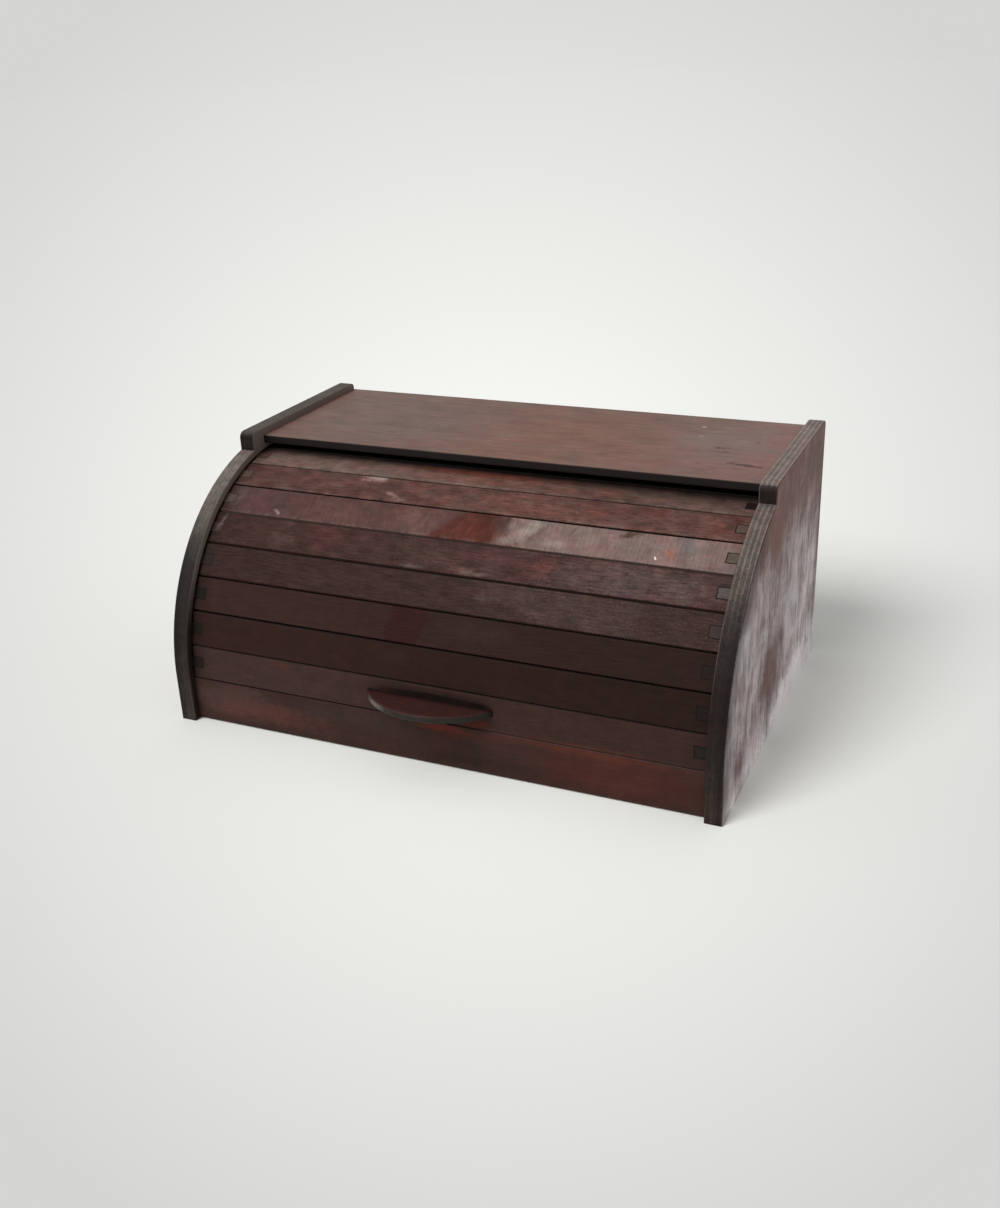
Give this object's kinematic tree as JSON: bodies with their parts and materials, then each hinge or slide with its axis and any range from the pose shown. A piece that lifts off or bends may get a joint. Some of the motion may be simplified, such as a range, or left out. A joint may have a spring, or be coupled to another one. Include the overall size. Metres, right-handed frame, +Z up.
{
  "type": "bread box",
  "caption": "Dark-stained wooden bread box with a curved, slatted roll-up front, a half-moon handle and a flat top set between the sides.",
  "frame": {"origin": "middle of the overall footprint, handle included, on the surface that the box stands on", "axes": "+X to the right as seen from the front, +Y to the back, +Z up; the roll-up front faces -Y"},
  "size_m": [0.4, 0.2812, 0.183],
  "materials": {
    "side_plywood": "mahogany-stained plywood, satin, ply edges showing",
    "top_plywood": "mahogany-stained plywood, satin",
    "slat_plywood": "mahogany-stained plywood, satin, grain along the slat",
    "rail_plywood": "mahogany-stained plywood, satin",
    "panel_plywood": "thinly stained plywood, matt",
    "runner_wood": "dark-stained hardwood, end grain outwards",
    "handle_plywood": "mahogany-stained plywood, satin",
    "dowel_beech": "plain beech",
    "canvas": "plain woven cotton canvas, glued",
    "screw_steel": "zinc-plated steel",
    "brad_steel": "dull steel"
  },
  "bodies": {
    "carcass": {"left_side": "side_plywood", "right_side": "side_plywood", "top_board": "top_plywood", "bottom_board": "panel_plywood", "back_board": "panel_plywood", "front_rail": "rail_plywood", "rail_dowels": "dowel_beech", "back_brads": "brad_steel"},
    "tambour_door": {"slat_1": "slat_plywood", "slat_2": "slat_plywood", "slat_3": "slat_plywood", "slat_4": "slat_plywood", "slat_5": "slat_plywood", "slat_6": "slat_plywood", "slat_7": "slat_plywood", "slat_8": "slat_plywood", "slat_9": "slat_plywood", "left_runner_1": "runner_wood", "left_runner_2": "runner_wood", "left_runner_3": "runner_wood", "left_runner_4": "runner_wood", "left_runner_5": "runner_wood", "left_runner_6": "runner_wood", "left_runner_7": "runner_wood", "left_runner_8": "runner_wood", "left_runner_9": "runner_wood", "right_runner_1": "runner_wood", "right_runner_2": "runner_wood", "right_runner_3": "runner_wood", "right_runner_4": "runner_wood", "right_runner_5": "runner_wood", "right_runner_6": "runner_wood", "right_runner_7": "runner_wood", "right_runner_8": "runner_wood", "right_runner_9": "runner_wood", "canvas_backing": "canvas", "door_handle": "handle_plywood", "handle_screws": "screw_steel"}
  },
  "joints": [
    {"name": "door_slide", "type": "hinge", "parent": "carcass", "child": "tambour_door", "pos_m": [0, 0.02069, 0.033], "axis": [-1, 0, 0], "range_deg": [0, 50]}
  ]
}
